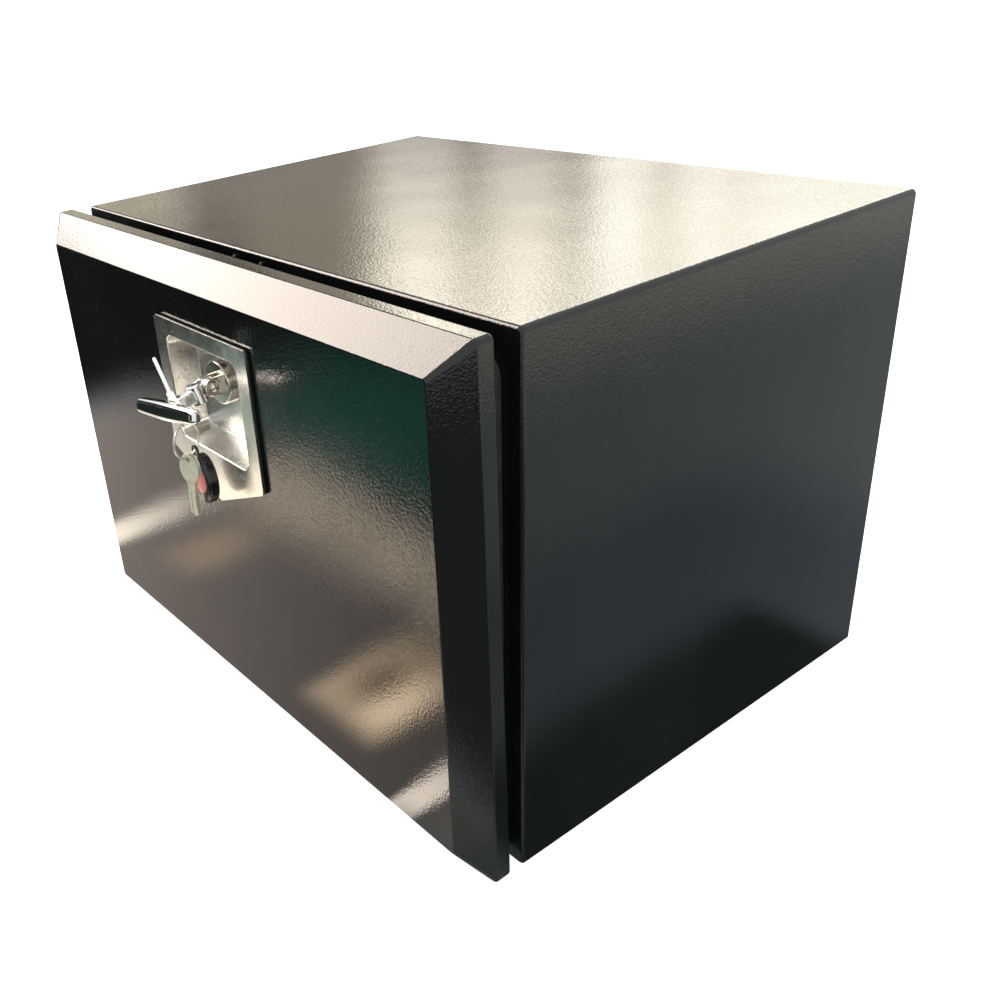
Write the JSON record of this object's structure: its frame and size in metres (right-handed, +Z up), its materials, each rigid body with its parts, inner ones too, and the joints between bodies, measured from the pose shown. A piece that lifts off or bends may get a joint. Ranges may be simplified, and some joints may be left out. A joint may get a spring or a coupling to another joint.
{
  "type": "underbody truck tool box",
  "caption": "Black powder-coated box with a bevelled drop-down door on a full-length hinge, a folding T handle latch in a pointed steel dish, and keys tied to the handle.",
  "frame": {"origin": "middle of the whole object's box, at its lowest point: the door's lower edge, 3.5 mm below the body's underside", "axes": "+X along the front to its right end, +Y from the front to the back, +Z up"},
  "size_m": [0.61, 0.543, 0.4391],
  "materials": {
    "black_powder_coat": "fine-textured powder coat",
    "polished_stainless": "polished stainless steel",
    "chrome_plate": "bright chrome plate",
    "zinc_steel": "zinc-plated steel",
    "black_oxide_steel": "blackened steel",
    "nickel_brass": "worn nickel-plated brass",
    "black_rubber": "matt black rubber",
    "black_plastic": "glossy black plastic",
    "white_nylon": "translucent white nylon",
    "pink_resin": "pale red resin, bare"
  },
  "bodies": {
    "cabinet": {"body_shell": "black_powder_coat", "back_panel": "black_powder_coat", "door_seal": "black_rubber", "hinge_leaf_body": "zinc_steel", "hinge_pin": "zinc_steel", "strike_plate": "zinc_steel", "strike_screw_1": "black_oxide_steel", "strike_screw_2": "black_oxide_steel", "stay_stud_left": "zinc_steel", "stay_stud_right": "zinc_steel"},
    "door": {"door_skin": "black_powder_coat", "door_liner": "black_powder_coat", "hinge_leaf_door": "zinc_steel", "latch_dish": "polished_stainless", "dish_gasket": "black_rubber", "dish_nut_1": "zinc_steel", "dish_nut_2": "zinc_steel", "dish_nut_3": "zinc_steel", "dish_nut_4": "zinc_steel", "spindle_bush": "zinc_steel", "bush_nut": "zinc_steel", "stay_bracket_left": "zinc_steel", "stay_bracket_right": "zinc_steel", "stay_rivet_left": "zinc_steel", "stay_rivet_right": "zinc_steel"},
    "stay_left": {"stay_arm_left": "zinc_steel"},
    "stay_right": {"stay_arm_right": "zinc_steel"},
    "hub": {"latch_hub": "chrome_plate", "pivot_pin": "chrome_plate", "pawl": "zinc_steel", "pawl_washer": "zinc_steel", "pawl_nut": "zinc_steel"},
    "handle": {"t_handle": "chrome_plate", "cable_tie": "white_nylon"},
    "plug": {"lock_plug": "chrome_plate"},
    "ring": {"key_ring": "zinc_steel"},
    "keys": {"key_1": "nickel_brass", "key_2": "nickel_brass"},
    "fob": {"key_fob": "black_plastic", "fob_inset": "pink_resin"}
  },
  "joints": [
    {"name": "door_hinge", "type": "hinge", "parent": "cabinet", "child": "door", "pos_m": [0, -0.17612, 0.00752], "axis": [1, 0, 0], "range_deg": [-1.29, 88.71]},
    {"name": "stay_turn_left", "type": "hinge", "parent": "door", "child": "stay_left", "pos_m": [-0.2628, -0.15626, 0.17636], "axis": [1, 0, 0], "range_deg": [-44.36, 0.65]},
    {"name": "stay_turn_right", "type": "hinge", "parent": "door", "child": "stay_right", "pos_m": [0.2628, -0.15626, 0.17636], "axis": [1, 0, 0], "range_deg": [-44.36, 0.65]},
    {"name": "handle_turn", "type": "hinge", "parent": "door", "child": "hub", "pos_m": [0, -0.18351, 0.33534], "axis": [0, -0.9997, -0.0225], "range_deg": [-9.8, 80.2]},
    {"name": "handle_fold", "type": "hinge", "parent": "hub", "child": "handle", "pos_m": [0, -0.22345, 0.33444], "axis": [-0.9854, 0.0038, -0.1702], "range_deg": [-16, 11.1]},
    {"name": "lock_turn", "type": "hinge", "parent": "handle", "child": "plug", "pos_m": [-0.00094, -0.23739, 0.33959], "axis": [-0.167, -0.2142, 0.9624], "range_deg": [0, 90]},
    {"name": "ring_swing", "type": "hinge", "parent": "handle", "child": "ring", "pos_m": [0.00388, -0.2529, 0.31131], "axis": [-0.9854, 0.0038, -0.1702], "range_deg": [-11.1, 16]},
    {"name": "keys_slide", "type": "hinge", "parent": "ring", "child": "keys", "pos_m": [0.00388, -0.2529, 0.29581], "axis": [0.9397, 0.342, 0], "range_deg": [-88.71, 1.29]},
    {"name": "fob_twist", "type": "hinge", "parent": "keys", "child": "fob", "pos_m": [0.00084, -0.24455, 0.28241], "axis": [0, 0, 1], "range_deg": [0, 12]}
  ],
  "couplings": [
    {"joint": "stay_turn_left", "follows": "door_hinge", "ratio": -0.5},
    {"joint": "stay_turn_right", "follows": "door_hinge", "ratio": -0.5},
    {"joint": "ring_swing", "follows": "handle_fold", "ratio": -1},
    {"joint": "keys_slide", "follows": "door_hinge", "ratio": -1}
  ]
}
